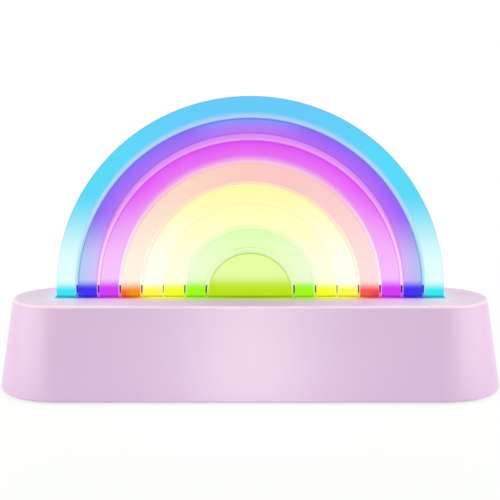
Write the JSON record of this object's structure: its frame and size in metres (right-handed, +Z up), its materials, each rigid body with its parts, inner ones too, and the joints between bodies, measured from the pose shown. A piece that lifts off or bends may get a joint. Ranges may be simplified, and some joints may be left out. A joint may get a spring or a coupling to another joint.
{
  "type": "rainbow lamp",
  "caption": "Rechargeable table lamp: nested half rings of lit clear acrylic stand in the deck of a long flared base with rounded ends; switch, button and charging inlet at the back.",
  "frame": {"origin": "on the table, under the middle of the base", "axes": "+X along the base, +Z up, -Y towards the front, so the ports face +Y"},
  "size_m": [0.2736, 0.0736, 0.1585],
  "materials": {
    "lilac_plastic": "satin",
    "control_plastic": "satin",
    "foot_rubber": "matt",
    "screw_steel": "plated",
    "white_plastic": "satin",
    "white_laminate": "solder mask",
    "diode_resin": "clear",
    "green_laminate": "solder mask",
    "ivory_nylon": "satin",
    "lead_insulation": "satin",
    "tinned_steel": "bright",
    "black_resin": "matt",
    "ferrite": "matt",
    "cell_case": "shrink wrapped",
    "back_plate_acrylic": "clear",
    "sky_arc_acrylic": "clear, lit from its foot",
    "violet_arc_acrylic": "clear, lit from its foot",
    "magenta_arc_acrylic": "clear, lit from its foot",
    "pink_arc_acrylic": "clear, lit from its foot",
    "yellow_arc_acrylic": "clear, lit from its foot",
    "lemon_arc_acrylic": "clear, lit from its foot",
    "green_arc_acrylic": "clear, lit from its foot",
    "lime_half_disc_acrylic": "clear, lit from its foot"
  },
  "bodies": {
    "lamp": {"base_shell": "lilac_plastic", "bottom_cover": "lilac_plastic", "foot_front_left": "foot_rubber", "foot_front_right": "foot_rubber", "foot_rear_left": "foot_rubber", "foot_rear_right": "foot_rubber", "cover_screws": "screw_steel", "holder_screws": "screw_steel", "board_screws": "screw_steel", "battery_screws": "screw_steel", "arc_holder": "white_plastic", "led_board": "white_laminate", "leds": "diode_resin", "control_board": "green_laminate", "led_connectors": "ivory_nylon", "battery_connector": "ivory_nylon", "led_lead": "lead_insulation", "battery_lead": "lead_insulation", "usb_socket": "tinned_steel", "slide_switch": "tinned_steel", "battery_contacts": "tinned_steel", "controller_chip": "black_resin", "charger_chip": "black_resin", "push_switch": "black_resin", "battery_tray": "black_resin", "power_inductor": "ferrite", "battery_cell": "cell_case", "back_plate": "back_plate_acrylic", "sky_arc": "sky_arc_acrylic", "violet_arc": "violet_arc_acrylic", "magenta_arc": "magenta_arc_acrylic", "pink_arc": "pink_arc_acrylic", "yellow_arc": "yellow_arc_acrylic", "lemon_arc": "lemon_arc_acrylic", "green_arc": "green_arc_acrylic", "lime_half_disc": "lime_half_disc_acrylic"},
    "button": {"mode_button": "control_plastic", "push_plunger": "white_plastic"},
    "slider": {"power_slider": "control_plastic", "switch_lever": "black_resin"}
  },
  "joints": [
    {"name": "mode_button_press", "type": "slide", "parent": "lamp", "child": "button", "axis": [0, -1, 0], "range_m": [0, 0.0006], "stiffness_N_per_m": 1500},
    {"name": "power_switch_slide", "type": "slide", "parent": "lamp", "child": "slider", "axis": [1, 0, 0], "range_m": [0, 0.004]}
  ]
}
